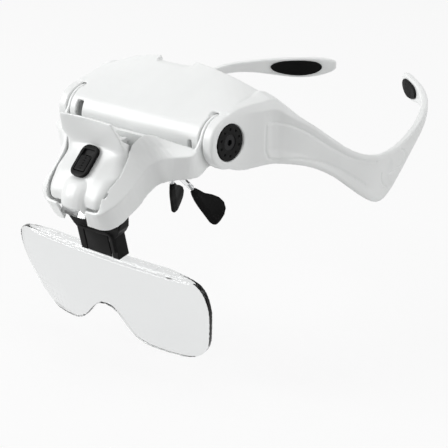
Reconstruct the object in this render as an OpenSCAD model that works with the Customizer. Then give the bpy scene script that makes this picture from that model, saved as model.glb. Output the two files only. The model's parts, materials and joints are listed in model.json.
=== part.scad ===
// Lighted head-worn magnifier: a brow shell with two temple arms, a front frame
// that flips up on side hinges, a tilting lamp and a hanging lens plate.
// X is the wearer's left, the wearer looks along -Y and Z is up.
// The origin is the middle of the flip hinge axis.

/* [Head fit] */
// Width between the arm centre lines beside the ears
ear_span = 125; // [118:1:145]
// Distance from the flip hinge back to the arm tips
arm_reach = 149; // [140:1:165]
// Width between the arm centre lines at the rear pads
tail_span = 66.6; // [58:0.2:80]
// Depth of the lowest arm corner below the flip hinge
ear_drop = 36; // [30:1:42]
// Thickness of the temple arms
arm_t = 3.2; // [2.6:0.1:4]
// Depth of the sunk panel on the outside of each arm
panel_depth = 0.7; // [0.4:0.1:1]
// Length of the rear arm pads
arm_pad_l = 26; // [20:1:28]
// Height of the rear arm pads
arm_pad_h = 7.4; // [6:0.2:8]

/* [Brow shell] */
// Outer radius of the rolled front edge
roller_r = 10.5; // [10:0.1:11.5]
// Wall of the brow shell
shell_t = 2; // [1.6:0.1:2.4]
// Height of the rear rim above the hinge, at the middle
rim_h = 23.9; // [22:0.5:27]
// Distance of the rear rim behind the hinge, at the middle
rim_back = 16.8; // [16:0.4:20]
// Width of the notch in the rear rim
notch_w = 19; // [10:1:24]
// Depth of the notch in the rear rim
notch_h = 2.4; // [1.5:0.1:4]
// Thickness of the inner cover
liner_t = 1.8; // [1.4:0.1:2.4]

/* [Flip hinge] */
// Width across the outer faces of the hinge knobs
hinge_span = 86; // [84:0.5:92]
// Thickness of the arm boss outside the hinge
boss_t = 4.9; // [4:0.1:5.4]
// Thickness of the front frame's ears
ear_t = 1.6; // [1.4:0.1:2]
// Radius of the front frame's ears round the hinge
ear_r = 10.2; // [8:0.1:10.2]
// Side clearance of each ear
ear_gap = 0.35; // [0.3:0.05:0.6]
// Radius of the hinge screws
screw_r = 2; // [1.6:0.1:2.2]
// Radial running clearance of pins and screws
fit = 0.06; // [0.03:0.01:0.1]
// Radius of the hinge knobs
knob_r = 7; // [6:0.1:7.4]
// Thickness of the hinge knobs
knob_t = 1.6; // [1.2:0.1:1.8]

/* [Lamp] */
// Width of the lamp at its shoulders
lamp_w = 33; // [30:0.5:33.4]
// Radius of the lamp's pivot pins
lamp_pin_r = 1.2; // [1:0.1:1.5]
// Diameter of the button cells
cell_d = 16; // [14:0.5:17]
// Thickness of one button cell
cell_t = 2; // [1.6:0.1:2.1]
// Length of the switch bezel
bezel_l = 13.6; // [12:0.2:15]
// Width of the switch bezel
bezel_w = 8.8; // [8:0.2:10.4]
// Travel of the switch slider
switch_travel = 2.5; // [1.5:0.1:3]
// Diameter of each light-emitting diode
led_d = 4; // [3:0.1:4.4]

/* [Lens and clip] */
// Backward lean of the clip and lens, in degrees
lens_lean = 13; // [8:1:18]
// Width of the clip
clip_w = 21.6; // [18:0.2:24]
// Depth of the clip from front to back
clip_d = 5.6; // [5:0.1:7]
// Radius of the clip's pivot pin
clip_pin_r = 1.5; // [1.2:0.1:1.8]
// Width of the lens plate
lens_w = 107; // [96:1:116]
// Height of the lens plate at its deepest
lens_h = 37; // [34:0.2:42]
// Thickness of the lens plate
lens_t = 2.5; // [2:0.1:3.4]
// How far the lens plate bulges forward at the nose notch
lens_bulge = 6.6; // [4:0.2:8]
// Depth of the ledge along the top of the lens
ledge_d = 5.2; // [4:0.2:6]
// Height of the nose notch in the lens
lens_notch_h = 15; // [10:0.2:18]

/* [Nose pads] */
// Length of the nose pads
nose_pad_l = 18.6; // [15:0.2:20]
// Thickness of the nose pads
nose_pad_t = 2.4; // [1.8:0.1:3]

/* [Hidden] */
$fn = 48;
white = "#eef0ef";
black = "#222322";
clear_tint = "#dfe4e3";
steel = "#b9bdc0";

// Curves through a few hand-set stations

function blend4(a, b, c, d, t) = 0.5 * (2 * b + (c - a) * t
    + (2 * a - 5 * b + 4 * c - d) * t * t + (3 * b - a - 3 * c + d) * t * t * t);
function along(p, u) = let (n = len(p) - 1, i = max(0, min(floor(u), n - 1)))
    blend4(p[max(i - 1, 0)], p[i], p[i + 1], p[min(i + 2, n)], u - i);
function mix(a, b, t) = a + (b - a) * t;
function soft_step(t) = let (c = max(0, min(1, t))) c * c * (3 - 2 * c);
function unit(v) = v / norm(v);
function mean(p) = [for (k = [0 : len(p[0]) - 1]) [for (q = p) q[k]] * [for (q = p) 1 / len(p)]];

// A closed solid through rings of equal point counts
// A thin ring runs out along one face and back along the other
module loft(rings, thin = false) {
    count = len(rings[0]);
    last = len(rings) - 1;
    points = [for (r = rings) each r];
    end = last * count;
    polyhedron(
        points = thin ? points : concat(points, [mean(rings[0]), mean(rings[last])]),
        faces = concat(
            [for (i = [0 : last - 1], k = [0 : count - 1])
                [i * count + k, i * count + (k + 1) % count, (i + 1) * count + k]],
            [for (i = [0 : last - 1], k = [0 : count - 1])
                [i * count + (k + 1) % count, (i + 1) * count + (k + 1) % count,
                    (i + 1) * count + k]],
            thin ? [for (k = [0 : count / 2 - 2]) each [
                [k + 1, k, count - 1 - k],
                [k + 1, count - 1 - k, count - 2 - k],
                [end + k, end + k + 1, end + count - 1 - k],
                [end + k + 1, end + count - 2 - k, end + count - 1 - k]]]
            : [for (k = [0 : count - 1]) each [
                [len(points), (k + 1) % count, k],
                [len(points) + 1, end + k, end + (k + 1) % count]]]));
}

// The same solid, on both sides of the middle
module both_sides() {
    children();
    mirror([1, 0, 0]) children();
}

// An extrusion along X from x0 to x1 of an outline drawn as [y, z]
module along_x(x0, x1) {
    translate([x0, 0, 0]) rotate([90, 0, 90]) linear_extrude(x1 - x0) children();
}

// Places on the hinge axis, going outwards
side_x = hinge_span / 2;
boss_in = side_x - boss_t;
root_t = 3;
root_in = side_x - root_t;
ear_out = boss_in - ear_gap;
ear_in = ear_out - ear_t;
shell_end = ear_in - ear_gap;
disc_t = 2.2;
disc_in = shell_end - disc_t;
nut_t = 2.4;
knob_sink = 0.3;
knob_gap = 0.3;
knob_in = side_x - knob_t;
screw_in = disc_in - nut_t - 0.6;

module rod_x(x0, x1, r) {
    translate([x0, 0, 0]) rotate([0, 90, 0]) cylinder(r = r, h = x1 - x0);
}

// Brow shell: a rolled front edge that runs up and back to the rear rim
rim_half = root_in;
rim_side_back = rim_back + 3.7;
rim_side_h = rim_h - 8.1;
roll_start = -62;
lift_angle = 50;
lift_side = 18;
slot_top = 87;
slot_wide_from = 71;
slot_wide = 0.9;
cheek_t = 1.5;
arc_steps = 13;
sheet_steps = 6;

function rim_point(x) = let (f = pow(x / rim_half, 2))
    [mix(rim_back, rim_side_back, f), mix(rim_h, rim_side_h, f)];
function lift(x) = lift_angle + lift_side * pow(x / rim_half, 2);
function on_roll(a, r) = [-r * cos(a), r * sin(a)];
function sheet(x, u, inset) = let (a = lift(x), r = roller_r - inset,
        p0 = on_roll(a, r), end = rim_point(x),
        lean = unit([sin(a), cos(a)]),
        p2 = end + inset * [0.45, -0.9],
        p1 = p0 + lean * norm(p2 - p0) * 0.5)
    p0 * (1 - u) * (1 - u) + p1 * 2 * u * (1 - u) + p2 * u * u;
function shell_ring(x) = [
    for (i = [0 : arc_steps]) let (p = on_roll(mix(roll_start, lift(x), i / arc_steps), roller_r))
        [x, p[0], p[1]],
    for (i = [1 : sheet_steps]) let (p = sheet(x, i / sheet_steps, 0)) [x, p[0], p[1]],
    for (i = [sheet_steps : -1 : 1]) let (p = sheet(x, i / sheet_steps, shell_t)) [x, p[0], p[1]],
    for (i = [arc_steps : -1 : 0])
        let (p = on_roll(mix(roll_start, lift(x), i / arc_steps), roller_r - shell_t))
        [x, p[0], p[1]]];

shell_xs = [for (i = [-9 : 9]) rim_half * i / 9];
window_x = 30.5;
window_w = 3.4;
window_low = -40;
right_window_top = 35;
left_window_x = 31.8;
left_window_w = 1.5;
left_window_top = 7;
bracket_screw_z = -13;
bracket_screw_r = 1.04;

arm_screw_r = 0.9;
arm_screw_at = [[12.9, 6.6], [16.4, 10]];
cheek_outline = [[10.4, 3.8], [15.6, 3.8], [19.4, 9], [20.2, 14.6], [10.2, 13.2]];

// Sector of the hinge side view between two angles, measured up from the front
module sector(a0, a1, r) {
    steps = 12;
    polygon(concat([[0, 0]], [for (i = [0 : steps]) on_roll(mix(a0, a1, i / steps), r)]));
}

module brow_shell() {
    color(white) {
        difference() {
            loft([for (x = shell_xs) shell_ring(x)], thin = true);
            both_sides() {
                along_x(shell_end, rim_half + 1) sector(-110, slot_top, roller_r + 3);
                along_x(shell_end - slot_wide, rim_half + 1) sector(slot_wide_from, slot_top, roller_r + 3);
                rod_x(shell_end, boss_in, ear_r + ear_gap);
            }
            // Narrow windows through the rolled edge beside each ear
            along_x(-window_x - window_w / 2, -window_x + window_w / 2)
                sector(window_low, right_window_top, roller_r + 2);
            along_x(left_window_x - left_window_w / 2, left_window_x + left_window_w / 2)
                sector(window_low, left_window_top, roller_r + 2);
            // Central notch in the rear rim
            translate([-notch_w / 2, rim_back - 6, rim_h - notch_h])
                cube([notch_w, 12, notch_h + 2]);
        }
        both_sides() {
            difference() {
                rod_x(disc_in, shell_end, roller_r - shell_t / 2);
                rod_x(disc_in - 1, shell_end + 1, screw_r + fit);
            }
            // Cheek that the arm is screwed to
            difference() {
                along_x(root_in - cheek_t, root_in) polygon(cheek_outline);
                for (p = arm_screw_at) translate([0, p[0], p[1]]) rod_x(0, root_in + 1, arm_screw_r + fit);
            }
        }
    }
}

// Inner cover: closes the back of the shell, where the forehead rests
liner_half = 33;
liner_gap = 0.4;
function liner_path(x) = let (bow = 3.2 * pow(x / liner_half, 2))
    [[-3, -9.9], [3, -10.7], [7.6 + bow / 2, -8.6], [11 + bow, -1.5], [13 + bow, 8],
     sheet(x, 0.93, shell_t + liner_gap + 1.1 * liner_t)];
function liner_ring(x) = let (path = liner_path(x), n = 10)
    [for (i = [0 : n]) let (p = along(path, 5 * i / n)) [x, p[0], p[1]],
     for (i = [n : -1 : 0]) let (p = along(path, 5 * i / n),
            q = along(path, max(5 * i / n - 0.2, 0)), r = along(path, min(5 * i / n + 0.2, 5)),
            d = unit(r - q))
        [x, p[0] - d[1] * liner_t, p[1] + d[0] * liner_t]];
hang_y = 6.4;
module bracket_screw_rod(from, l, r) {
    translate([0, hang_y + from, bracket_screw_z]) rotate([-90, 0, 0]) cylinder(r = r, h = l);
}
module brow_liner() {
    color(white) {
        difference() {
            loft([for (i = [6 : -1 : -6]) liner_ring(liner_half * i / 6)], thin = true);
            liner_screw_rods(liner_screw_r + fit);
        }
        // Tab that the nose bracket is screwed to
        difference() {
            translate([-6, hang_y, -17]) cube([12, 2, 9]);
            bracket_screw_rod(-1, 5, bracket_screw_r + fit);
        }
    }
}

liner_screw_r = 0.9;
module liner_screw_rods(r) {
    both_sides() translate([24, 9.6, -4]) rotate([-90, 0, 0]) cylinder(r = r, h = 3.2);
}
module liner_screws() {
    color(steel) liner_screw_rods(liner_screw_r);
}

// Temple arms: stations from the hinge boss to the tip
// Each is [x, y, top, bottom, thickness, extra height of the inner top edge]
ear_x = ear_span / 2;
tail_x = tail_span / 2;
arm_stations = [
    [root_in + root_t / 2, 0.5, 10.3, -10.6, root_t, 1.2],
    [root_in + root_t / 2 + 0.1, 4.5, 11.4, -12, root_t + 0.2, 1.2],
    [root_in + root_t / 2 + 0.6, 9, 12.2, -12.6, root_t + 1.2, 1.3],
    [root_in + root_t / 2 + 1.9, 15, 12.4, -12.1, root_t + 3.6, 2.4],
    [root_in + root_t / 2 + 3.2, 21.6, 12, -12.1, root_t + 6.2, 3.8],
    [mix(side_x, ear_x, 0.45), 30, 6.1, -13.5, arm_t + 0.9, 0],
    [mix(side_x, ear_x, 0.62), 38, 0.2, -16.6, arm_t + 0.3, 0],
    [mix(side_x, ear_x, 0.77), 45, -5.4, -20.8, arm_t, 0],
    [mix(side_x, ear_x, 0.88), 52, -10.3, -26.2, arm_t, 0],
    [mix(side_x, ear_x, 0.96), 60, -13.9, 0.89 * -ear_drop, arm_t, 0],
    [ear_x - 0.2, 68, -15.8, -ear_drop, arm_t, 0],
    [ear_x, 75, -15.8, 0.95 * -ear_drop, arm_t, 0],
    [ear_x + 0.3, 82, -14.2, -27.8, arm_t, 0],
    [ear_x + 0.4, 90, -10.8, -19.3, arm_t, 0],
    [ear_x - 0.5, 98, -6.8, -12.6, arm_t, 0],
    [ear_x - 3.1, 0.705 * arm_reach, -3.9, -8.6, arm_t, 0],
    [mix(tail_x, ear_x, 0.75), 0.752 * arm_reach, -2.3, -7.2, arm_t, 0],
    [mix(tail_x, ear_x, 0.54), 0.805 * arm_reach, -1.4, -7.4, arm_t, 0],
    [mix(tail_x, ear_x, 0.29), 0.859 * arm_reach, -0.7, -9, arm_t, 0],
    [tail_x, 0.909 * arm_reach, -0.3, -10.1, arm_t, 0],
    [tail_x - 6.8, 0.953 * arm_reach, -0.4, -9.4, arm_t, 0],
    [tail_x - 11.6, 0.984 * arm_reach, -1.4, -7.4, arm_t - 0.4, 0],
    [tail_x - 13.2, 0.995 * arm_reach, -2.6, -5.8, arm_t - 1.2, 0]];
arm_last = len(arm_stations) - 1;
arm_steps = 66;
root_last = 4;
panel_from = 3.2;
panel_to = 11.2;

function arm_at(u) = along(arm_stations, u);
function arm_out(u) = let (a = arm_at(max(u - 0.2, 0)), b = arm_at(min(u + 0.2, arm_last)),
        d = unit([b[0] - a[0], b[1] - a[1]]))
    unit(mix([1, 0, 0], [d[1], -d[0], 0], soft_step((u - root_last + 0.3) / 1.6)));
// Rounded section: [across, up] pairs in half thickness and half height
section = [[1, -0.8], [1, -0.5], [1, 0], [1, 0.5], [1, 0.8], [0.7, 1], [-0.7, 1],
    [-1, 0.8], [-1, 0], [-1, -0.8], [-0.7, -1], [0.7, -1]];
function sunk(u, s) = s[0] < 1 || abs(s[1]) > 0.6 ? 0
    : panel_depth * soft_step((u - panel_from) / 0.3) * soft_step((panel_to - u) / 0.3);
// The inner top corner is square beside the shell
function corner_up(u, s) = s[0] == -1 && s[1] > 0.5 ? mix(0.98, s[1], soft_step(u - root_last)) : s[1];
function arm_ring(u) = let (a = arm_at(u), n = arm_out(u), h = (a[2] - a[3]) / 2)
    [for (s = section) [a[0], a[1], (a[2] + a[3]) / 2]
        + n * (s[0] * a[4] / 2 - sunk(u, s))
        + [0, 0, corner_up(u, s) * h
            + (s[0] < 0 && s[1] > 0.5 ? a[5] : s[0] < 1 && s[1] > 0.9 ? a[5] * 0.35 : 0)]];

module left_arm_body() {
    difference() {
        union() {
            translate([boss_in, 0, 0]) rotate([0, 90, 0]) rotate_extrude($fn = 72)
                polygon([[0, 0], [roller_r, 0], [roller_r, boss_t - 1], [roller_r - 0.3, boss_t - 0.35],
                    [roller_r - 1, boss_t], [0, boss_t]]);
            difference() {
                loft([for (i = [0 : arm_steps]) arm_ring(arm_last * i / arm_steps)]);
                translate([0, -12, -20]) cube([root_in, 36, 40]);
            }
        }
        rod_x(knob_in - knob_sink, side_x + 8, knob_r + knob_gap);
        rod_x(boss_in - 1, side_x, screw_r + fit);
        // Step that the rear sheet of the shell sits in
        difference() {
            along_x(boss_in - 1, root_in) sector(slot_top, 180, roller_r + 2);
            rod_x(boss_in - 2, side_x, roller_r - shell_t - 0.05);
        }
        for (p = arm_screw_at) translate([0, p[0], p[1]])
            rod_x(root_in - 1, root_in + arm_screw_l, arm_screw_r + fit);
    }
}
module left_arm() {
    color(white) left_arm_body();
}
module right_arm() {
    color(white) mirror([1, 0, 0]) left_arm_body();
}

arm_screw_l = 2;
arm_screw_head_t = 0.8;
module arm_screws_left() {
    for (p = arm_screw_at) translate([0, p[0], p[1]]) {
        rod_x(root_in - cheek_t - arm_screw_head_t, root_in - cheek_t, arm_screw_r + 0.8);
        rod_x(root_in - cheek_t, root_in + arm_screw_l - 0.1, arm_screw_r);
    }
}
module left_arm_screws() {
    color(steel) arm_screws_left();
}
module right_arm_screws() {
    color(steel) mirror([1, 0, 0]) arm_screws_left();
}

// Rear pads: ovals that follow the inside of the arm tails
pad_proud = 1;
pad_station = 19;
pad_gap = 0.05;
pad_steps = 12;
pad_speed = norm(arm_at(pad_station + 0.5) - arm_at(pad_station - 0.5));
function pad_ring(t) = let (u = pad_station + t * arm_pad_l / 2 / pad_speed, a = arm_at(u), n = arm_out(u),
        c = [a[0], a[1], (a[2] + a[3]) / 2], h = [0, 0, arm_pad_h / 2 * sqrt(max(0.01, 1 - t * t))],
        near = a[4] / 2 + pad_gap, far = near + pad_proud)
    [c - n * near - h, c - n * near, c - n * near + h,
     c - n * (far - 0.2) + h, c - n * far + h * 0.8, c - n * far,
     c - n * far - h * 0.8, c - n * (far - 0.2) - h];
module arm_pad_left() {
    loft([for (i = [pad_steps : -1 : 0]) pad_ring(-cos(180 * i / pad_steps))]);
}
module left_arm_pad() {
    color(black) arm_pad_left();
}
module right_arm_pad() {
    color(black) mirror([1, 0, 0]) arm_pad_left();
}

module hinge_washers() {
    color(steel) both_sides() difference() {
        rod_x(ear_out + 0.03, boss_in, 5);
        rod_x(ear_out - 1, boss_in + 1, screw_r + fit);
    }
}
module hinge_nuts() {
    color(steel) both_sides() difference() {
        translate([disc_in - nut_t, 0, 0]) rotate([0, 90, 0]) cylinder(r = 3.8, h = nut_t, $fn = 6);
        rod_x(disc_in - nut_t - 1, disc_in + 1, screw_r + fit);
    }
}

module hinge_screw() {
    difference() {
        union() {
            rod_x(screw_in, side_x - 1, screw_r);
            rod_x(side_x - 1, side_x - 0.3, screw_r + 1);
        }
        translate([side_x - 1.6, 0, 0]) rotate([0, 90, 0]) cylinder(r = 1.3, h = 4, $fn = 6);
    }
}
module left_hinge_screw() {
    color(steel) hinge_screw();
}
module right_hinge_screw() {
    color(steel) mirror([1, 0, 0]) hinge_screw();
}

knob_dimples = 10;
module knob() {
    difference() {
        rod_x(knob_in, side_x, knob_r);
        rod_x(knob_in - 1, side_x + 1, screw_r + 0.02);
        rod_x(side_x - 1, side_x + 1, screw_r + 1.05);
        for (i = [0 : knob_dimples - 1]) rotate([i * 360 / knob_dimples, 0, 0])
            translate([side_x - 0.5, 0, knob_r - 1.8]) rotate([0, 90, 0])
                cylinder(r = 0.55, h = 2, $fn = 16);
    }
}
module left_knob() {
    color(black) knob();
}
module right_knob() {
    color(black) mirror([1, 0, 0]) knob();
}

// Nose bracket: hangs from the inner cover and carries two pads on short stems
nose_top = [5.9, 18.4, -31];
nose_axis = unit([6.4, 8.4, -15.5]);
nose_out = unit([0.93, -0.31, 0.21]);
nose_across = cross(nose_out, nose_axis);
pad_pin_r = 0.6;
stem_end = nose_top - nose_axis * 1.5;

// Runs along the nose pads' long axis, from one distance below the pad top to another
module along_pad(from, to, r) {
    translate(nose_top + nose_axis * from)
        rotate(a = acos(nose_axis[2]), v = cross([0, 0, 1], nose_axis))
            cylinder(r = r, h = to - from);
}
module nose_bracket() {
    color(clear_tint) {
        difference() {
            translate([-5, hang_y + 2, -22]) cube([10, 2, 12.5]);
            bracket_screw_rod(1, 5, bracket_screw_r + fit);
        }
        both_sides() difference() {
            hull() {
                translate([2, hang_y + 3.2, -20.5]) sphere(r = 1.3, $fn = 20);
                translate(stem_end) sphere(r = 1.2, $fn = 20);
            }
            along_pad(-3.2, 0, pad_pin_r);
        }
    }
}
module nose_bracket_screw() {
    color(steel) bracket_screw_rod(0, 4.4, bracket_screw_r);
}
module nose_pad_pins() {
    color(steel) both_sides() along_pad(-3.1, 2.5, pad_pin_r - 0.01);
}

// Pad outline round its own middle line: [along, towards the nose side, away from it]
nose_profile = [[0, 1.2, 1.2], [0.1, 2.1, 1.9], [0.24, 3.2, 2.4], [0.4, 5.6, 2.6],
    [0.56, 7.3, 2.6], [0.72, 7.8, 2.6], [0.86, 6.8, 2.6], [0.95, 4.6, 2], [1, 1.6, 1]];
function nose_ring(p) = let (c = nose_top + nose_axis * nose_pad_l * p[0],
        half = nose_pad_t / 2 * (p[0] > 0.98 ? 0.45 : 1))
    [c - nose_across * p[2] + nose_out * half * 0.5, c + nose_out * half,
     c + nose_across * p[1] + nose_out * half * 0.5, c + nose_across * p[1] - nose_out * half * 0.5,
     c - nose_out * half, c - nose_across * p[2] - nose_out * half * 0.5];
module nose_pad_left() {
    difference() {
        loft([for (p = nose_profile) nose_ring(p)]);
        along_pad(-1, 2.8, pad_pin_r + fit);
    }
}
module left_nose_pad() {
    color(black) nose_pad_left();
}
module right_nose_pad() {
    color(black) mirror([1, 0, 0]) nose_pad_left();
}

// Front frame: from each ear an arm runs forward and turns into the lamp's tray
// Stations: inner top edge, outer ridge, outer bottom, inner bottom
frame_stations = [
    [[34.4, -11.9, -0.9], [ear_out, -12.6, -1.7], [ear_out, -12.2, -12.1], [35.2, -10.9, -10.6]],
    [[30.8, -14.1, 0.2], [ear_out, -15.9, -2.9], [35.8, -15.8, -12.5], [32, -13.6, -10.7]],
    [[26.8, -16, 1.2], [33, -19.8, -3.5], [30.5, -19.3, -13.4], [28.4, -16.4, -10.8]],
    [[20.2, -22.1, 4], [26.6, -22.2, -5.3], [26.2, -21.7, -15.4], [23.6, -19.4, -12.6]],
    [[17.6, -27.5, -0.1], [23.9, -25, -8], [23.6, -25.2, -19.1], [20.8, -22.4, -16.6]],
    [[17, -29.6, -6.2], [22.4, -28.9, -12.4], [22.3, -27.6, -22.7], [18.8, -25, -20.6]],
    [[16.8, -33.6, -11.2], [21.8, -33.2, -16], [20.9, -31.2, -25.8], [18, -28.6, -24]],
    [[16, -37.9, -14.9], [21, -37.7, -19.5], [19.3, -34.8, -29.1], [17, -33, -27.2]],
    [[15.2, -41.1, -18.6], [18.8, -41, -22], [16.5, -37.4, -31.2], [15.4, -36, -29.4]],
    [[14, -42.2, -23.4], [14.2, -42.9, -24.5], [12.4, -38.8, -32.2], [12, -37.8, -30.4]],
    [[8, -42.4, -23.8], [8, -43.2, -24.6], [6.4, -40.6, -31.4], [6.6, -39.4, -29.8]]];
frame_last = len(frame_stations) - 1;
frame_steps = 30;
function frame_ring(u) = let (s = [for (k = [0 : 3]) along([for (f = frame_stations) f[k]], u)])
    [s[0], mix(s[0], s[1], 0.5), s[1], mix(s[1], s[2], 0.5),
     s[2], mix(s[2], s[3], 0.5), s[3], mix(s[3], s[0], 0.5)];

lamp_pin_y = -36.4;
lamp_pin_z = -20.8;
clip_pin_y = -28.5;
clip_pin_z = -20.6;

module ear_outline() {
    difference() {
        union() {
            circle(r = ear_r);
            polygon([[-12.6, -1.2], [-12.8, -3.4], [-12.4, -12], [-11.2, -11.9], [-9, -10.8],
                [-6.8, -9.4], [-4.5, -8.9], [0, 0], [-9.8, 2.6]]);
        }
        circle(r = screw_r + fit);
    }
}

module front_frame() {
    color(white) difference() {
        union() {
            both_sides() {
                loft([for (i = [0 : frame_steps]) frame_ring(frame_last * i / frame_steps)]);
                along_x(ear_in, ear_out) ear_outline();
            }
            // Bar that joins the two sides behind the lamp's foot
            along_x(-17.6, 17.6) polygon([[-35.4, -28.4], [-33.2, -28.9], [-32.8, -27.5], [-35, -27]]);
        }
        both_sides() {
            translate([12, lamp_pin_y, lamp_pin_z]) rotate([0, 90, 0])
                cylinder(r = lamp_pin_r + fit, h = 6.4);
            translate([15, clip_pin_y, clip_pin_z]) rotate([0, 90, 0])
                cylinder(r = clip_pin_r + fit, h = 5.6);
        }
    }
}

// Plate across the back of the tray, behind the lamp
plate_y = -20.9;
plate_t = 1.4;
module frame_back_plate() {
    color(white) {
        difference() {
            translate([-21.4, plate_y, -15.6]) cube([42.8, plate_t, 17]);
            both_sides() translate([20, plate_y - 1, -13]) rotate([-90, 0, 0]) cylinder(r = 0.9, h = 4);
        }
        translate([-19, plate_y, 0.4]) cube([38, 2.2, 1.8]);
    }
}
module back_plate_screws() {
    color(steel) both_sides() translate([20, plate_y - 0.6, -13]) rotate([-90, 0, 0])
        cylinder(r = 0.84, h = 3);
}

module lamp_pins() {
    color(steel) both_sides() translate([12.6, lamp_pin_y, lamp_pin_z]) rotate([0, 90, 0])
        cylinder(r = lamp_pin_r, h = 5.8);
}
module clip_pin() {
    color(steel) translate([-20.4, clip_pin_y, clip_pin_z]) rotate([0, 90, 0])
        cylinder(r = clip_pin_r, h = 40.8);
}

// Lamp: [z, front, flank front, split, back, half width], from the lip down
shoulder = lamp_w / 2;
// Stands for a level that only the lip's thickness sets
no_split = -50;
lamp_sections = [
    [8.8, -33.9, -34.8, no_split, -33, shoulder - 2.5],
    [7.6, -33.4, -34.5, no_split, -32, shoulder - 1.9],
    [5.4, -32.3, -33.6, no_split, -30.4, shoulder - 1.1],
    [3, -31.2, -32.5, no_split, -27.6, shoulder - 0.4],
    [1, -30.3, -31.8, -29, -22.6, shoulder],
    [-2.6, -29.3, -30, -27.5, -22.2, shoulder + 0.1],
    [-5, -31, -29.6, -27.6, -22.2, shoulder + 0.1],
    [-7.7, -33.4, -30, -28.4, -22.2, shoulder],
    [-10.5, -36, -32.7, -29.9, -22.2, shoulder],
    [-12.5, -37.8, -35.4, -31.2, -22.2, shoulder - 0.2],
    [-15, -39.4, -37.9, -32.4, -22.2, shoulder - 0.9],
    [-18, -40.9, -40.5, -33.8, -27.2, shoulder - 1.6],
    [-20.8, -41.6, -41.9, -35.2, -33.4, shoulder - 2.3],
    [-23.4, -41.4, -41.8, -36.7, -35.4, shoulder - 2.9]];
tube_half = 7.4;
tube_sections = [
    [-12.6, -37, -34, tube_half - 1.4, 0],
    [-13.8, -39, -34.4, tube_half - 0.7, 0],
    [-15.2, -40.7, -35, tube_half - 0.3, 0.05],
    [-17, -42.2, -35.6, tube_half, 0.1],
    [-19.5, -43.6, -36.2, tube_half, 0.2],
    [-21.7, -44.2, -36.9, tube_half, 0.3],
    [-23.8, -44.1, -37.6, tube_half - 0.1, 0.45],
    [-25, -43.5, -38.2, tube_half - 0.6, 0.56],
    [-25.4, -43, -38.6, tube_half - 1.2, 0.6]];
lamp_steps = 39;
lamp_last = len(lamp_sections) - 1;
tube_last = len(tube_sections) - 1;
base_from = 12;
base_half = 11.2;
front_xs = [-1, -0.97, -0.92, -0.86, -0.78, -0.5, -0.2, 0.2, 0.5, 0.78, 0.86, 0.92, 0.97, 1];
back_xs = [base_half, base_half / 2, 0, -base_half / 2, -base_half];
edge_drop = 1.4;
edge_from = 0.78;
lip_t = 1.3;
seam = 0.08;
// The sides round back, except at the lip
function lamp_front(s, f) = mix(s[1], s[2], f * f)
    + edge_drop * mix(0.3, 1, soft_step((1 - s[0]) / 4))
        * pow(max(0, (abs(f) - edge_from) / (1 - edge_from)), 2.2);
function lamp_split(s, x) = max(s[3], lamp_front(s, x / s[5]) + lip_t);
function lamp_front_ring(u) = let (s = along(lamp_sections, u))
    concat([for (f = front_xs) [s[5] * f, lamp_front(s, f), s[0]]],
        [for (x = concat([s[5]], back_xs, [-s[5]])) [x, lamp_split(s, x), s[0]]]);
function lamp_back_ring(u) = let (s = along(lamp_sections, u), w = base_half,
        b = max(s[4], lamp_split(s, 0) + 1.2))
    concat([for (x = back_xs) [-x, lamp_split(s, x) + seam, s[0]]],
        [[w, b - 0.9, s[0]], [w - 1.4, b, s[0]], [-w + 1.4, b, s[0]], [-w, b - 0.9, s[0]]]);
function tube_ring(u) = let (s = along(tube_sections, u), depth = s[2] - s[1])
    concat([for (i = [0 : 10]) let (a = 18 * i)
            [-s[3] * cos(a), s[1] + (1 - sin(a)) * depth * 0.6, s[0] - s[4] * (1 - sin(a)) * depth * 0.6]],
        [[s[3], s[2], s[0] - s[4] * depth], [-s[3], s[2], s[0] - s[4] * depth]]);

bezel_top = [-29.2, -3.2];
bezel_low = [-39.1, -13.8];
bezel_mid = (bezel_top + bezel_low) / 2;
bezel_seat = 0.05;
bezel_r = 3.2;

// Local frame on the sloping lamp face: X across, Y up the slope, Z out of the face
module on_lamp_face() {
    translate([0, bezel_mid[0], bezel_mid[1]])
        rotate([90 - atan2(bezel_top[0] - bezel_low[0], bezel_top[1] - bezel_low[1]), 0, 0])
            children();
}
module oblong(l, w, h, r) {
    linear_extrude(h) difference() {
        square([w, l], center = true);
        for (a = [0 : 3]) mirror([a % 2, 0]) mirror([0, floor(a / 2)])
            translate([w / 2 - r, l / 2 - r]) difference() {
                square(r + 1);
                circle(r = r);
            }
    }
}

cell_y = -23.6;
cell_front = cell_y - 2 * cell_t - 0.04;
cell_z = -7.8;
cell_gap = 0.2;
// Room for the two button cells, between two depths
module cell_room(y0, y1) {
    translate([0, y1, cell_z]) rotate([90, 0, 0]) cylinder(r = cell_d / 2 + cell_gap, h = y1 - y0);
}
slider_l = 6.4;
slider_w = 5.4;
bezel_h = 1.4;
board_half = 5.4;
board_low = -7.6;
board_l = 8;
board_t = 0.8;
board_at = -3.9;
led_lean = 25;
led_at = [-39.8, -23.4];
led_x = 2.6;
window_half = 4.9;
window_h = 4.4;
module on_led_axis() {
    translate([0, led_at[0], led_at[1]]) rotate([-led_lean, 0, 0]) children();
}
module lamp_housing() {
    color(white) difference() {
        union() {
            loft([for (i = [0 : lamp_steps]) lamp_front_ring(lamp_last * i / lamp_steps)]);
            loft([for (i = [0 : 24]) tube_ring(tube_last * i / 24)]);
        }
        cell_room(cell_front - 0.5, -19);
        on_lamp_face() {
            translate([0, 0, -2.1]) oblong(slider_l + switch_travel + 0.8, slider_w + 0.8, 6, 0.6);
            translate([-board_half - 0.6, board_low - 0.4, board_at - 0.3])
                cube([2 * board_half + 1.2, board_l + 0.8, board_t + 1.3]);
        }
        on_led_axis() translate([-window_half - 0.1, -window_h / 2 - 0.1, -8])
            cube([2 * window_half + 0.2, window_h + 0.2, 12]);
        // Seat of the switch bezel
        on_lamp_face() translate([0, 0, bezel_seat - 0.02]) oblong(bezel_l + 0.1, bezel_w + 0.1, 3, bezel_r);
        lamp_pin_holes();
    }
}
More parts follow.
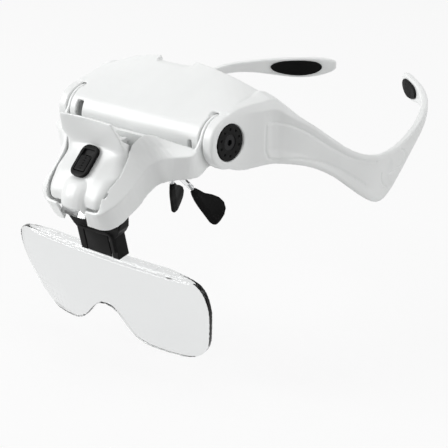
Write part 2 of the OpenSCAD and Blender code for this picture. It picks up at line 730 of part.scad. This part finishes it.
module lamp_pin_holes() {
    both_sides() translate([0, lamp_pin_y, lamp_pin_z]) rod_x(8.6, 17, lamp_pin_r + fit);
}

door_half = 8.9;
door_y = -23.3;
door_t = 1.1;
door_low = -15;
door_top = 0.4;
door_gap = 0.3;
module lamp_base() {
    color(white) difference() {
        loft([for (i = [base_from : lamp_steps]) lamp_back_ring(lamp_last * i / lamp_steps)]);
        cell_room(-31, cell_y + cell_gap);
        // Channel that the battery door slides up in
        translate([-door_half - door_gap, cell_y, door_low - 0.2])
            cube([2 * (door_half + door_gap), 3, 22]);
        lamp_pin_holes();
        lamp_screw_rods(lamp_screw_r + fit);
    }
}
lamp_screw_r = 0.8;
module lamp_screw_rods(r) {
    both_sides() translate([9.9, -26.4, -13]) rotate([-90, 0, 0]) cylinder(r = r, h = 3.4);
}
module lamp_screws() {
    color(steel) lamp_screw_rods(lamp_screw_r);
}

module switch_bezel() {
    color(black) on_lamp_face() difference() {
        translate([0, 0, bezel_seat]) oblong(bezel_l, bezel_w, bezel_h, bezel_r);
        translate([0, 0, 0.6]) oblong(slider_l + switch_travel + 0.8, slider_w + 0.7, 4, 0.6);
        translate([0, 0, -1]) oblong(2 + switch_travel + 0.6, 2.6, 4, 0.3);
    }
}
module switch_slider() {
    color(black) on_lamp_face() translate([0, -switch_travel / 2, 0]) {
        translate([0, 0, 0.65]) oblong(slider_l, slider_w, 0.8, 0.5);
        translate([0, 0, -1.1]) oblong(2, 2, 2, 0.3);
        for (i = [-2 : 2]) translate([-0.9, i * 1.1, 1.5]) cube([2.6, 0.5, 0.5], center = true);
    }
}
module switch_contact() {
    color(steel) on_lamp_face() translate([-2.5, -4, -1.9]) cube([5, 4.2, 0.6]);
}
module circuit_board() {
    color("#2f6b46") on_lamp_face() translate([-board_half, board_low, board_at])
        cube([2 * board_half, board_l, board_t]);
}
module led_bulbs() {
    color(clear_tint) both_sides() on_led_axis() translate([led_x, 0, 0]) {
        translate([0, 0, -0.5]) cylinder(d = led_d, h = 4);
        translate([0, 0, -0.5]) sphere(d = led_d);
    }
}
module led_window() {
    color(clear_tint) on_led_axis() translate([-window_half, -window_h / 2, -5.2])
        cube([2 * window_half, window_h, 2.6]);
}
module button_cells() {
    color(steel) for (i = [0, 1]) translate([0, cell_y - i * (cell_t + 0.02), cell_z]) rotate([90, 0, 0])
        cylinder(d = cell_d, h = cell_t);
}
module cell_contacts() {
    color(steel) translate([-3, cell_front - 0.48, cell_z - 3]) cube([6, 0.48, 6]);
}
module battery_door() {
    color(white) {
        translate([-door_half, door_y, door_low]) cube([2 * door_half, door_t, door_top - door_low]);
        // Ridge for the thumb
        translate([-5, door_y + door_t - 0.05, door_top - 2.4]) cube([10, 0.6, 1.2]);
    }
}

// Clip and lens lean back together under the frame
module in_clip_frame() {
    translate([0, clip_pin_y, clip_pin_z]) rotate([lens_lean, 0, 0]) children();
}
clip_front = -6.1;
clip_back = clip_front + clip_d;
clip_low = -26.1;
clip_rim = -16.4;
clip_shoulder = -12;
clip_neck = [12.5, -14.8];
shoulder_half = 14.3;
tongue_half = 6.6;
tongue_top = -16.4;
horn_out = 15.4;
horn_in = 11.6;
horn_r = 3.2;
slot_v0 = -5.4;
slot_v1 = -3;
slot_half = 8.8;

module clip_front_outline() {
    half = [[clip_w / 2, clip_low], [clip_w / 2, clip_rim], clip_neck, [shoulder_half, clip_shoulder - 0.4],
        [horn_out, clip_shoulder + 4], [horn_out, -2], [horn_in, -2], [horn_in, clip_shoulder + 3]];
    polygon(concat(half, [for (i = [len(half) - 1 : -1 : 0]) [-half[i][0], half[i][1]]]));
}
module lens_clip() {
    color(black) in_clip_frame() {
        difference() {
            union() {
                intersection() {
                    translate([0, clip_back, 0]) rotate([90, 0, 0])
                        linear_extrude(clip_d) clip_front_outline();
                    // The horns thin out towards the pivot
                    along_x(-20, 20) polygon([[clip_front, clip_low], [clip_back, clip_low],
                        [clip_back, clip_shoulder], [1.6, -2], [-2.6, -2], [clip_front, clip_shoulder]]);
                }
                both_sides() rod_x(horn_in, horn_out, horn_r);
            }
            rod_x(-20, 20, clip_pin_r + fit);
            // Slot for the lens tab
            translate([-slot_half, slot_v0, clip_low - 1]) cube([2 * slot_half, slot_v1 - slot_v0, 8.8]);
            // Room for the spring tongue
            translate([-tongue_half - 0.6, clip_front - 1, clip_low - 1])
                cube([2 * tongue_half + 1.2, slot_v0 - clip_front + 1.1, tongue_top - clip_low + 1]);
        }
        // Thumb ledge that crosses the front and turns down one side
        translate([0, clip_front + 0.1, 0]) rotate([90, 0, 0]) linear_extrude(0.9)
            polygon([[-9.6, -16], [-9.6, -14.8], [7.8, -14.4], [9.6, -15], [10.3, -16.6], [10.3, -23],
                [9.1, -23], [9, -17], [8.6, -16], [7.6, -15.6]]);
    }
}
module clip_tongue() {
    color(black) in_clip_frame() {
        translate([-tongue_half, clip_front + 0.02, clip_low + 0.2])
            cube([2 * tongue_half, 0.58, tongue_top - clip_low - 0.2]);
    }
}
module clip_friction_washers() {
    color(steel) both_sides() difference() {
        translate([horn_out + 0.1, clip_pin_y, clip_pin_z]) rotate([0, 90, 0]) cylinder(r = 2.9, h = 0.6);
        translate([horn_out - 1, clip_pin_y, clip_pin_z]) rotate([0, 90, 0])
            cylinder(r = clip_pin_r + fit, h = 3);
    }
}

// Lens plate: a bulged sheet with a ledge along its top, cut to a two-lobed outline
lens_top = clip_low - 0.3;
lens_half = lens_w / 2;
lens_low_w = lens_top - lens_h;
lens_edge = -4.4;
lens_crown = lens_edge - 2;
ledge_h = 1.8;
// The front at the middle of one level, and its share of the way down
function lens_down(w) = max(0, min(1.1, (lens_top - w) / (0.9 * lens_h)));
function lens_mid(w) = lens_crown - (lens_edge - lens_crown + lens_bulge - 4) * lens_down(w);
function lens_front(x, w) = let (s = lens_down(w), reach = lens_half * (1 - 0.2 * s * s))
    lens_mid(w) + (lens_edge - lens_mid(w)) * pow(x / reach, 2);
function ledge_taper(x) = 1 - soft_step((abs(x) / lens_half - 0.6) / 0.34);
function ledge_share(w) = soft_step((w - lens_top + ledge_h + 0.8) / 0.8);
function lens_back(x, w) = lens_front(x, w)
    + lens_t + (ledge_d - lens_t) * ledge_share(w) * ledge_taper(x);
lens_levels = concat([lens_top, lens_top - ledge_h / 2, lens_top - ledge_h,
    lens_top - ledge_h - 0.4, lens_top - ledge_h - 0.8],
    [for (i = [1 : 12]) mix(lens_top - ledge_h - 0.8, lens_low_w - 0.5, i / 12)]);
lens_cuts = 34;
function lens_ring(x) = [
    for (w = lens_levels) [x, lens_front(x, w), w],
    for (i = [len(lens_levels) - 1 : -1 : 0]) [x, lens_back(x, lens_levels[i]), lens_levels[i]]];
module lens_outline() {
    notch_top = lens_low_w + lens_notch_h;
    half = [[0, notch_top], [3.4, notch_top - 0.5], [6.2, notch_top - 1.9], [8.2, notch_top - 3.5],
        [9.8, notch_top - 5.1], [12.2, notch_top - 7.6], [14.8, notch_top - 9.8],
        [18, lens_low_w + 3.4], [22.6, lens_low_w + 2], [28, lens_low_w + 1.1],
        [34, lens_low_w + 0.3], [38.6, lens_low_w], [lens_half - 10.6, lens_low_w + 1.1],
        [lens_half - 8, lens_low_w + 3.2], [lens_half - 5.8, lens_low_w + 6.1],
        [lens_half - 4, lens_low_w + 9.6], [lens_half - 2.1, lens_low_w + 15.6],
        [lens_half - 0.8, lens_low_w + 20.6], [lens_half, lens_low_w + 25.4],
        [lens_half - 0.3, lens_top - 6.8], [lens_half - 1.5, lens_top - 3.2],
        [lens_half - 3.7, lens_top - 1], [lens_half - 7, lens_top]];
    n = len(half) - 1;
    steps = 66;
    curve = [for (i = [0 : steps]) along(half, n * i / steps)];
    polygon(concat(curve, [for (i = [steps : -1 : 1]) [-curve[i][0], curve[i][1]]]));
}
rib_x = 28.3;
module magnifier_lens() {
    color(clear_tint) in_clip_frame() {
        intersection() {
            loft([for (i = [0 : lens_cuts]) lens_ring((lens_half + 0.5) * (1 - 2 * i / lens_cuts))],
                thin = true);
            translate([0, 40, 0]) rotate([90, 0, 0]) linear_extrude(80) lens_outline();
        }
        both_sides() translate([rib_x, lens_edge, lens_top - 0.5]) cube([1, 2.4, 1.3]);
        // Tab that goes up into the clip
        translate([-slot_half + 0.3, slot_v0 + 0.3, lens_top - 1])
            cube([2 * slot_half - 0.6, slot_v1 - slot_v0 - 0.6, 8]);
    }
}

brow_shell();
brow_liner();
liner_screws();
left_arm();
right_arm();
left_arm_screws();
right_arm_screws();
left_arm_pad();
right_arm_pad();
hinge_washers();
hinge_nuts();
left_hinge_screw();
right_hinge_screw();
left_knob();
right_knob();
nose_bracket();
nose_bracket_screw();
nose_pad_pins();
left_nose_pad();
right_nose_pad();
front_frame();
frame_back_plate();
back_plate_screws();
lamp_pins();
clip_pin();
lamp_housing();
lamp_base();
lamp_screws();
switch_bezel();
switch_slider();
switch_contact();
circuit_board();
led_bulbs();
led_window();
button_cells();
cell_contacts();
battery_door();
lens_clip();
clip_tongue();
clip_friction_washers();
magnifier_lens();
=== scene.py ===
import json
import math

import bmesh
import bpy
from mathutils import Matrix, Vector


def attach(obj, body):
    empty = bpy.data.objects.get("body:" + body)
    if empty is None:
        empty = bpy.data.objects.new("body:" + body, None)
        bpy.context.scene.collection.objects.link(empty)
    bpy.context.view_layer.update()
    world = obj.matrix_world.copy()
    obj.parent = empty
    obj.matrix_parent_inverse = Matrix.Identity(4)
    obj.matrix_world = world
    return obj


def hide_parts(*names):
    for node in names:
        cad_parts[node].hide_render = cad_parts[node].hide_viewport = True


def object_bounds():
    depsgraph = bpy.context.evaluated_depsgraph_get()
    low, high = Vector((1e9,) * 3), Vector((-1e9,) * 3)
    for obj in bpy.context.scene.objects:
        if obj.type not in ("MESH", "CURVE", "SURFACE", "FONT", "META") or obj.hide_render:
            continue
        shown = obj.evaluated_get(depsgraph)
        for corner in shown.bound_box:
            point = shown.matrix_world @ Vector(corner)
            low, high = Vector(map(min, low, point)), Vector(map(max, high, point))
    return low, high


MM = 0.001

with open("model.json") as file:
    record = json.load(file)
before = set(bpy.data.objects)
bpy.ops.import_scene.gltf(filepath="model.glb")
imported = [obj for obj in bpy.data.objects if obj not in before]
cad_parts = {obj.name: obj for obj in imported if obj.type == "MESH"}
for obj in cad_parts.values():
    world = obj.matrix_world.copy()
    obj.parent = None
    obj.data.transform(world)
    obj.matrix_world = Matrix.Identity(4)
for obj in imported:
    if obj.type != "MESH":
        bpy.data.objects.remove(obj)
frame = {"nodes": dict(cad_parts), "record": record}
cad_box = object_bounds()
node_body = {
    node: body
    for body, nodes in frame["record"]["behaviour"]["bodies"].items()
    for node in nodes
}
node_slot = {row["node"]: row["material_slot"] for row in frame["record"]["subparts"]}


def linked(name, data):
    """A new object of the scene that holds the given data."""
    obj = bpy.data.objects.new(name, data)
    bpy.context.scene.collection.objects.link(obj)
    return obj


# Camera: the photograph's viewing angle

CAMERA_AT = Vector((0.35628, -0.35149, 0.13530))
VIEW_AZIMUTH = math.radians(42)
VIEW_ELEVATION = math.radians(19.6)
FOCAL_LENGTH = 104.46
SENSOR_WIDTH = 36
CLIP_RANGE = (0.01, 20)


def add_camera():
    data = bpy.data.cameras.new("photo_camera")
    data.lens = FOCAL_LENGTH
    data.sensor_width = SENSOR_WIDTH
    data.clip_start, data.clip_end = CLIP_RANGE
    camera = linked("photo_camera", data)
    back = Vector((
        math.sin(VIEW_AZIMUTH) * math.cos(VIEW_ELEVATION),
        -math.cos(VIEW_AZIMUTH) * math.cos(VIEW_ELEVATION),
        math.sin(VIEW_ELEVATION),
    ))
    camera.location = CAMERA_AT
    camera.rotation_mode = "QUATERNION"
    camera.rotation_quaternion = (-back).to_track_quat("-Z", "Y")
    bpy.context.scene.camera = camera


# Materials

NOISE_DETAIL = 3
RAMP_START = 0.35
RAMP_END = 0.65
PLASTIC_TONE_SCALE = 35
PLASTIC_WEAR_SCALE = 160
PLASTIC_BUMP = 0.6
CLEAR_TONE_SCALE = 20
CLEAR_TONE_SHARE = 0.985
CLEAR_BUMP = 0.3
CLEAR_IOR = 1.3


def new_material(name):
    material = bpy.data.materials.new(name)
    material.use_nodes = True
    nodes = material.node_tree.nodes
    links = material.node_tree.links
    return material, nodes, links, nodes["Principled BSDF"]


def object_noise(nodes, links, scale):
    """The output of a noise that stays with the object."""
    place = nodes.new("ShaderNodeTexCoord")
    noise = nodes.new("ShaderNodeTexNoise")
    noise.inputs["Scale"].default_value = scale
    noise.inputs["Detail"].default_value = NOISE_DETAIL
    links.new(place.outputs["Object"], noise.inputs["Vector"])
    return noise.outputs["Fac"]


def vary(nodes, links, target, scale, low, high):
    """Drives a shader's input with noise between two colours or greys."""
    noise = object_noise(nodes, links, scale)
    ramp = nodes.new("ShaderNodeValToRGB")
    first, last = ramp.color_ramp.elements
    first.position = RAMP_START
    first.color = low
    last.position = RAMP_END
    last.color = high
    links.new(noise, ramp.inputs["Fac"])
    links.new(ramp.outputs["Color"], target)


def grey(value):
    return (value, value, value, 1)


def add_bump(nodes, links, shader, scale, strength, distance):
    noise = object_noise(nodes, links, scale)
    bump = nodes.new("ShaderNodeBump")
    bump.inputs["Strength"].default_value = strength
    bump.inputs["Distance"].default_value = distance
    links.new(noise, bump.inputs["Height"])
    links.new(bump.outputs["Normal"], shader.inputs["Normal"])


def plastic(name, low, high, rough, texture_scale, texture_depth, specular=0.5):
    """An opaque plastic or coating that varies a little in colour and in gloss."""
    material, nodes, links, shader = new_material(name)
    vary(
        nodes, links, shader.inputs["Base Color"],
        PLASTIC_TONE_SCALE, low=(*low, 1), high=(*high, 1))
    vary(
        nodes, links, shader.inputs["Roughness"],
        PLASTIC_WEAR_SCALE, low=grey(rough[0]), high=grey(rough[1]))
    shader.inputs["Specular IOR Level"].default_value = specular
    add_bump(nodes, links, shader, texture_scale, PLASTIC_BUMP, texture_depth)
    return material


def steel_material():
    material, nodes, links, shader = new_material("plated_steel")
    vary(
        nodes, links, shader.inputs["Base Color"],
        scale=400, low=(0.46, 0.46, 0.47, 1), high=(0.58, 0.58, 0.6, 1))
    shader.inputs["Metallic"].default_value = 1
    shader.inputs["Roughness"].default_value = 0.28
    add_bump(nodes, links, shader, scale=2500, strength=0.4, distance=0.00001)
    return material


def clear_material(name, tint, roughness, bump_scale, bump_depth):
    """A clear plastic. Its index is below that of acrylic, which keeps the lens edges light."""
    material, nodes, links, shader = new_material(name)
    low = tuple(CLEAR_TONE_SHARE * value for value in tint)
    vary(nodes, links, shader.inputs["Base Color"], CLEAR_TONE_SCALE, (*low, 1), (*tint, 1))
    shader.inputs["Transmission Weight"].default_value = 1
    shader.inputs["IOR"].default_value = CLEAR_IOR
    shader.inputs["Roughness"].default_value = roughness
    add_bump(nodes, links, shader, bump_scale, CLEAR_BUMP, bump_depth)
    return material


MATERIALS = {
    "white_plastic": plastic(
        "white_gloss_plastic", low=(0.82, 0.832, 0.826), high=(0.86, 0.872, 0.866),
        rough=(0.3, 0.38), texture_scale=260, texture_depth=0.000004),
    "black_plastic": plastic(
        "black_moulded_plastic", low=(0.004, 0.004, 0.004), high=(0.007, 0.007, 0.007),
        rough=(0.4, 0.52), texture_scale=2600, texture_depth=0.00002, specular=0.09),
    "soft_rubber": plastic(
        "black_soft_rubber", low=(0.003, 0.003, 0.003), high=(0.006, 0.006, 0.006),
        rough=(0.6, 0.75), texture_scale=3000, texture_depth=0.00003, specular=0.08),
    "clear_plastic": clear_material(
        "clear_acrylic", tint=(0.82, 0.83, 0.83), roughness=0,
        bump_scale=60, bump_depth=0.00001),
    "steel": steel_material(),
    "circuit_board": plastic(
        "green_board", low=(0.02, 0.12, 0.05), high=(0.03, 0.17, 0.07),
        rough=(0.35, 0.5), texture_scale=800, texture_depth=0.00002),
}
BLACKENED = plastic(
    "blackened_steel", low=(0.004, 0.004, 0.005), high=(0.007, 0.007, 0.008),
    rough=(0.34, 0.46), texture_scale=2200, texture_depth=0.00002, specular=0.2)
FROSTED = clear_material(
    "frosted_window", tint=(0.86, 0.87, 0.87), roughness=0.4,
    bump_scale=500, bump_depth=0.0001)


# Meshes

WELD_DISTANCE = 0.003
SMOOTH_FACTOR = 0.5
FLAT_ANGLE = math.radians(1)
BEVEL_ANGLE = math.radians(38)
BEVEL_SEGMENTS = 3


def gathered(nodes):
    """One welded mesh of several CAD nodes."""
    bm = bmesh.new()
    for node in nodes:
        bm.from_mesh(frame["nodes"][node].data)
    bmesh.ops.remove_doubles(bm, verts=bm.verts, dist=WELD_DISTANCE * MM)
    mesh = bpy.data.meshes.new("gathered")
    bm.to_mesh(mesh)
    bm.free()
    return mesh


def settled(obj):
    """Applies the object's modifiers."""
    bpy.context.view_layer.update()
    depsgraph = bpy.context.evaluated_depsgraph_get()
    mesh = bpy.data.meshes.new_from_object(obj.evaluated_get(depsgraph))
    obj.modifiers.clear()
    obj.data = mesh


def shade_smooth(obj):
    for polygon in obj.data.polygons:
        polygon.use_smooth = True


def stand_in(obj, nodes):
    """The piece rides, and takes its finish, as the CAD nodes that it stands for."""
    slot = node_slot[nodes[0]]
    obj.data.materials.clear()
    obj.data.materials.append(MATERIALS[slot])
    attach(obj, node_body[nodes[0]])
    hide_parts(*nodes)
    return obj


def moulded(name, nodes, voxel, rounds):
    """A moulded piece: the CAD solids joined in one skin with softly rounded edges."""
    obj = linked(name, gathered(nodes))
    skin = obj.modifiers.new("skin", "REMESH")
    skin.mode = "VOXEL"
    skin.voxel_size = voxel * MM
    skin.use_smooth_shade = True
    soft = obj.modifiers.new("soft", "SMOOTH")
    soft.factor = SMOOTH_FACTOR
    soft.iterations = rounds
    settled(obj)
    shade_smooth(obj)
    return stand_in(obj, nodes)


def crisp(name, nodes, bevel):
    """A precise piece: the CAD solids with fine bevels on their edges."""
    mesh = gathered(nodes)
    obj = linked(name, mesh)
    bm = bmesh.new()
    bm.from_mesh(mesh)
    bmesh.ops.dissolve_limit(bm, angle_limit=FLAT_ANGLE, verts=bm.verts, edges=bm.edges)
    bm.to_mesh(mesh)
    bm.free()
    edges = obj.modifiers.new("edges", "BEVEL")
    edges.width = bevel * MM
    edges.segments = BEVEL_SEGMENTS
    edges.limit_method = "ANGLE"
    edges.angle_limit = BEVEL_ANGLE
    settled(obj)
    shade_smooth(obj)
    obj.data.set_sharp_from_angle(angle=BEVEL_ANGLE)
    return stand_in(obj, nodes)


# Creases in the arms' outer sides, as (y, z) in mm: the sunk panel's border and two short ones

PANEL_BORDER = [
    (60.1, -26.6), (55.0, -23.2), (50.2, -19.9), (44.7, -16.4), (39.5, -13.7), (34.4, -11.9),
    (29.1, -10.7), (23.4, -10.3), (19.4, -10.1), (17.2, -9.2), (16.1, -6.2), (16.1, -2.3),
    (16.1, 1.8), (16.5, 4.4), (17.9, 5.2), (20.9, 4.7), (25.5, 3.3), (31.4, 0.2),
    (35.3, -2.6), (39.3, -5.5), (43.1, -8.3), (46.7, -10.6), (50.4, -12.9), (54.8, -15.1),
    (59.7, -16.7), (66.2, -18.1),
]
HOOK_CREASE = [(70.7, -24.1), (70.3, -25.9), (70.9, -27.8), (72.3, -29.8), (74.1, -31.1)]
END_CREASE = [
    (82.6, -16.4), (84.6, -17.3), (86.0, -19.3), (85.0, -21.8), (81.4, -23.7), (75.8, -24.7),
]
CREASE_RADIUS = 0.8
CREASE_DEPTH = 0.42
CREASED_FROM_X = 45
CREASED_FROM_Y = 14.5
CREASED_TO_Y = 88
OUTWARD_SHARE = 0.5


def distance_to_line(point, line):
    """Distance in mm from a point in the Y-Z plane to a run of straight stretches."""
    nearest = math.inf
    for start, end in zip(line, line[1:]):
        along = (end[0] - start[0], end[1] - start[1])
        offset = (point[0] - start[0], point[1] - start[1])
        share = (offset[0] * along[0] + offset[1] * along[1]) / (along[0] ** 2 + along[1] ** 2)
        share = max(0.0, min(1.0, share))
        gap = math.hypot(offset[0] - share * along[0], offset[1] - share * along[1])
        nearest = min(nearest, gap)
    return nearest


def faces_out(x, y, vert):
    """Whether a vertex lies on the creased stretch of an arm's outer side."""
    if abs(x) < CREASED_FROM_X or y < CREASED_FROM_Y or y > CREASED_TO_Y:
        return False
    return vert.normal.x * x >= OUTWARD_SHARE * abs(x)


def press_arm_creases(obj):
    """Presses the panel's border and the creases into the outer sides of both arms."""
    mesh = obj.data
    lines = (PANEL_BORDER, HOOK_CREASE, END_CREASE)
    moves = {}
    for vert in mesh.vertices:
        x, y, z = vert.co / MM
        if not faces_out(x, y, vert):
            continue
        reach = min(distance_to_line((y, z), line) for line in lines)
        if reach < CREASE_RADIUS:
            fall = 0.5 + 0.5 * math.cos(math.pi * reach / CREASE_RADIUS)
            moves[vert.index] = vert.co - vert.normal * (CREASE_DEPTH * fall * MM)
    for index, place in moves.items():
        mesh.vertices[index].co = place


# Notch across the seam between the lamp and the near side of the frame, in mm

NOTCH_MIDDLE = (15.9, -40, -16.6)
NOTCH_ALONG = (0, -0.78, -0.62)
NOTCH_ACROSS = (1, 0, 0)
NOTCH_HALF_LENGTH = 1.35
NOTCH_HALF_WIDTH = 0.8
NOTCH_HALF_DEPTH = 1.7
NOTCH_SHARP_ANGLE = math.radians(50)


def notch_cutter():
    """A small block that lies across the seam."""
    middle = Vector(NOTCH_MIDDLE) * MM
    along = Vector(NOTCH_ALONG)
    across = Vector(NOTCH_ACROSS)
    deep = along.cross(across)
    bm = bmesh.new()
    bmesh.ops.create_cube(bm, size=2)
    for vert in bm.verts:
        offset = (
            NOTCH_HALF_LENGTH * vert.co.x * along
            + NOTCH_HALF_WIDTH * vert.co.y * across
            + NOTCH_HALF_DEPTH * vert.co.z * deep
        )
        vert.co = middle + offset * MM
    bmesh.ops.recalc_face_normals(bm, faces=bm.faces)
    mesh = bpy.data.meshes.new("notch_cutter")
    bm.to_mesh(mesh)
    bm.free()
    return linked("notch_cutter", mesh)


def cut_notch(obj):
    cutter = notch_cutter()
    cut = obj.modifiers.new("notch", "BOOLEAN")
    cut.operation = "DIFFERENCE"
    cut.solver = "EXACT"
    cut.object = cutter
    settled(obj)
    bpy.data.objects.remove(cutter)
    obj.data.set_sharp_from_angle(angle=NOTCH_SHARP_ANGLE)


# Pieces, with voxel sizes and bevel widths in mm

press_arm_creases(
    moulded("head_shell", ["brow_shell", "left_arm", "right_arm"], voxel=0.38, rounds=8))
moulded("inner_cover", ["brow_liner"], voxel=0.5, rounds=4)
cut_notch(moulded("flip_frame", ["front_frame"], voxel=0.3, rounds=8))
cut_notch(moulded("lamp_front", ["lamp_housing"], voxel=0.26, rounds=7))
moulded("lamp_rear", ["lamp_base"], voxel=0.35, rounds=4)
moulded("clip_body", ["lens_clip"], voxel=0.22, rounds=3)
for side in ("left", "right"):
    moulded(f"{side}_rear_pad", [f"{side}_arm_pad"], voxel=0.2, rounds=4)
for side in ("left", "right"):
    moulded(f"{side}_nose_cushion", [f"{side}_nose_pad"], voxel=0.2, rounds=9)
moulded("lens_plate", ["magnifier_lens"], voxel=0.38, rounds=7)
for side in ("left", "right"):
    crisp(f"{side}_hinge_knob", [f"{side}_knob"], bevel=0.2)
crisp("switch_surround", ["switch_bezel"], bevel=0.35)
crisp("switch_button", ["switch_slider"], bevel=0.08)
crisp("spring_tongue", ["clip_tongue"], bevel=0.12)
window = crisp("diode_window", ["led_window"], bevel=0.25)
window.data.materials[0] = FROSTED
crisp("cross_plate", ["frame_back_plate"], bevel=0.3)
crisp("cell_door", ["battery_door"], bevel=0.2)

for node, obj in frame["nodes"].items():
    if obj.hide_render:
        continue
    finish = BLACKENED if "hinge_screw" in node else MATERIALS[node_slot[node]]
    obj.data.materials.clear()
    obj.data.materials.append(finish)


# Floor, world and lights

FLOOR_GREY = 0.74
FLOOR_ROUGHNESS = 0.9
FLOOR_SPECULAR = 0.1
FLOOR_HALF_SIZE = 6
FLOOR_DROP = 10
BACKDROP_SHARE = 0.88
BACKDROP_WHITE = 0.96
WORLD_LIGHT = 0.24


def math_node(nodes, links, operation, first):
    """A math node with its first input linked."""
    node = nodes.new("ShaderNodeMath")
    node.operation = operation
    links.new(first, node.inputs[0])
    return node


def seen_directly(nodes, links):
    """1 for camera, glossy and transmission rays, and 0 for the rays that light the object."""
    rays = nodes.new("ShaderNodeLightPath").outputs
    seen = rays["Is Camera Ray"]
    for kind in ("Is Glossy Ray", "Is Transmission Ray"):
        either = math_node(nodes, links, "MAXIMUM", seen)
        links.new(rays[kind], either.inputs[1])
        seen = either.outputs["Value"]
    return seen


def floor_material():
    """A pale floor that the camera, glass and gloss see as a nearly even white backdrop."""
    material, nodes, links, shader = new_material("pale_floor")
    shader.inputs["Base Color"].default_value = grey(FLOOR_GREY)
    shader.inputs["Roughness"].default_value = FLOOR_ROUGHNESS
    shader.inputs["Specular IOR Level"].default_value = FLOOR_SPECULAR
    share = math_node(nodes, links, "MULTIPLY", seen_directly(nodes, links))
    share.inputs[1].default_value = BACKDROP_SHARE
    white = nodes.new("ShaderNodeEmission")
    white.inputs["Color"].default_value = grey(1)
    white.inputs["Strength"].default_value = 1
    mix = nodes.new("ShaderNodeMixShader")
    links.new(share.outputs["Value"], mix.inputs["Fac"])
    links.new(shader.outputs["BSDF"], mix.inputs[1])
    links.new(white.outputs["Emission"], mix.inputs[2])
    links.new(mix.outputs["Shader"], nodes["Material Output"].inputs["Surface"])
    return material


def add_stage():
    """The floor, far enough under the part to leave room for the lens to slide out."""
    bm = bmesh.new()
    bmesh.ops.create_grid(bm, x_segments=1, y_segments=1, size=FLOOR_HALF_SIZE)
    mesh = bpy.data.meshes.new("floor")
    bm.to_mesh(mesh)
    bm.free()
    floor = linked("floor", mesh)
    floor.location = (0, 0, cad_box[0][2] - FLOOR_DROP * MM)
    mesh.materials.append(floor_material())


def add_world():
    world = bpy.data.worlds.new("studio")
    bpy.context.scene.world = world
    world.use_nodes = True
    nodes = world.node_tree.nodes
    links = world.node_tree.links
    background = nodes["Background"]
    background.inputs["Color"].default_value = grey(1)
    strength = nodes.new("ShaderNodeMapRange")
    strength.inputs["To Min"].default_value = WORLD_LIGHT
    strength.inputs["To Max"].default_value = BACKDROP_WHITE
    links.new(seen_directly(nodes, links), strength.inputs["Value"])
    links.new(strength.outputs["Result"], background.inputs["Strength"])


def add_light(name, at, size, power):
    """A round light that faces the origin."""
    data = bpy.data.lights.new(name, "AREA")
    data.shape = "DISK"
    data.size = size
    data.energy = power
    light = linked(name, data)
    light.location = at
    light.rotation_mode = "QUATERNION"
    light.rotation_quaternion = (-Vector(at)).to_track_quat("-Z", "Y")


add_stage()
add_world()
add_light("overhead", at=(-0.1, 0.0, 1.3), size=1.2, power=7.4)
add_light("key", at=(-1.1, -0.95, 0.62), size=0.9, power=16.8)
add_light("side_fill", at=(1.2, 0.3, 0.42), size=1.0, power=5.2)
add_camera()
bpy.context.scene.view_settings.view_transform = "Standard"
